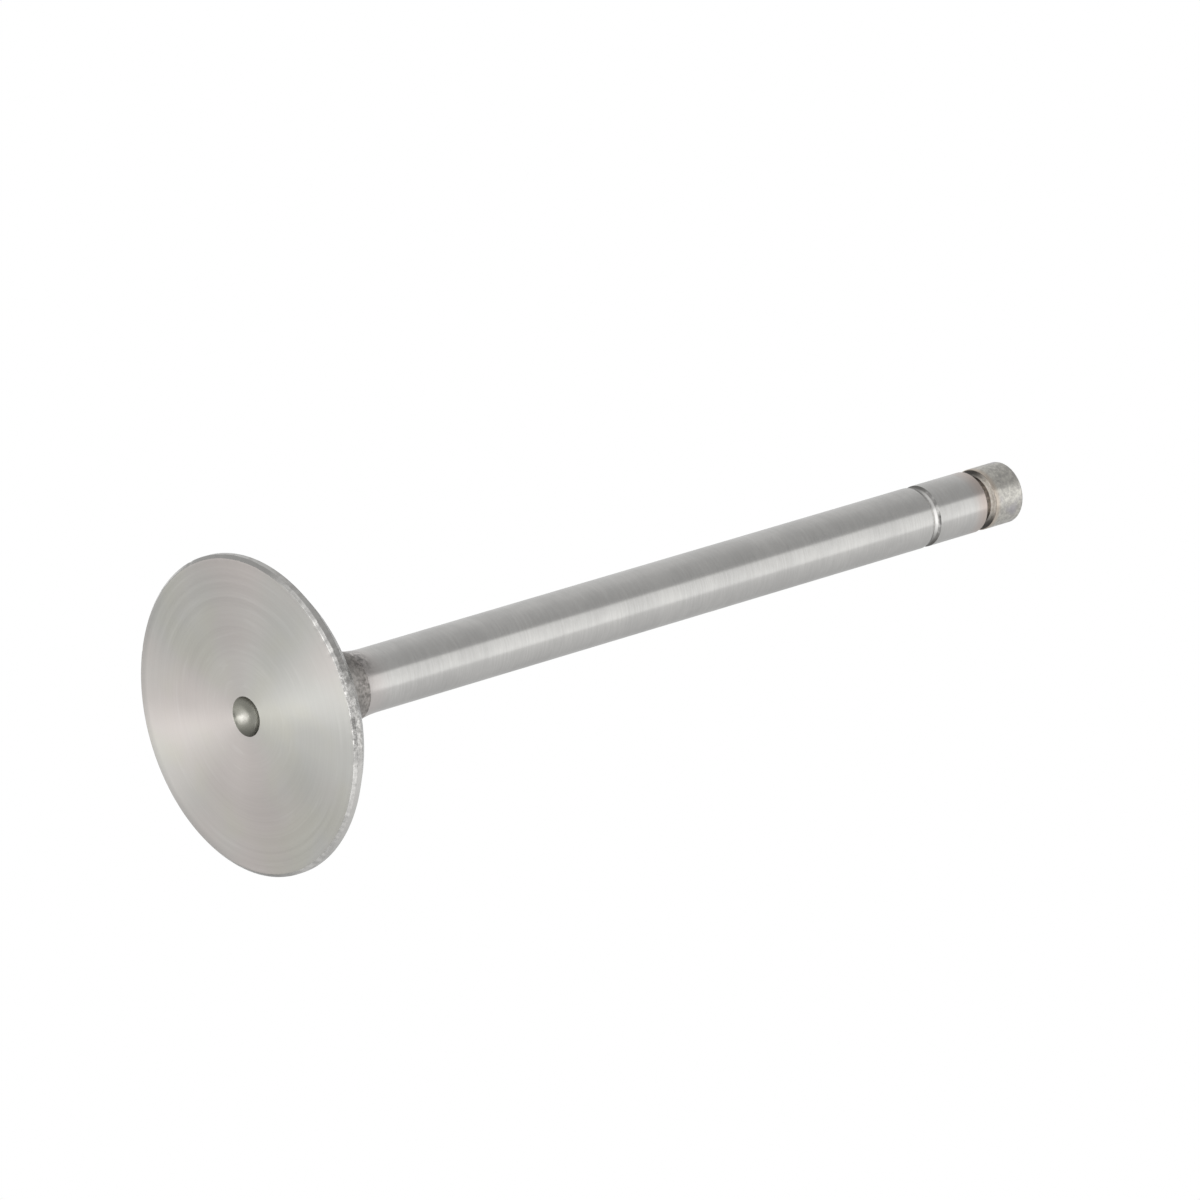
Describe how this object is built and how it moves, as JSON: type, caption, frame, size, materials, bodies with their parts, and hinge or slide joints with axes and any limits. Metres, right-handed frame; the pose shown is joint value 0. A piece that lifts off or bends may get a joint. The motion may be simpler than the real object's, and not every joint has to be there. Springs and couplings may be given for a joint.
{
  "type": "engine valve",
  "caption": "Poppet valve with a flat disc head, swept neck and long ground stem with a keeper groove near its tip; opens and seals a port in a cylinder head.",
  "frame": {"origin": "centre of the flat combustion face", "axes": "+Z along the stem from the face to the tip; the valve is round, so X and Y are free"},
  "size_m": [0.0398, 0.0398, 0.1288],
  "materials": {
    "ground_steel": "turned face, ground stem"
  },
  "bodies": {
    "root": {"engine_valve": "ground_steel"}
  },
  "joints": []
}
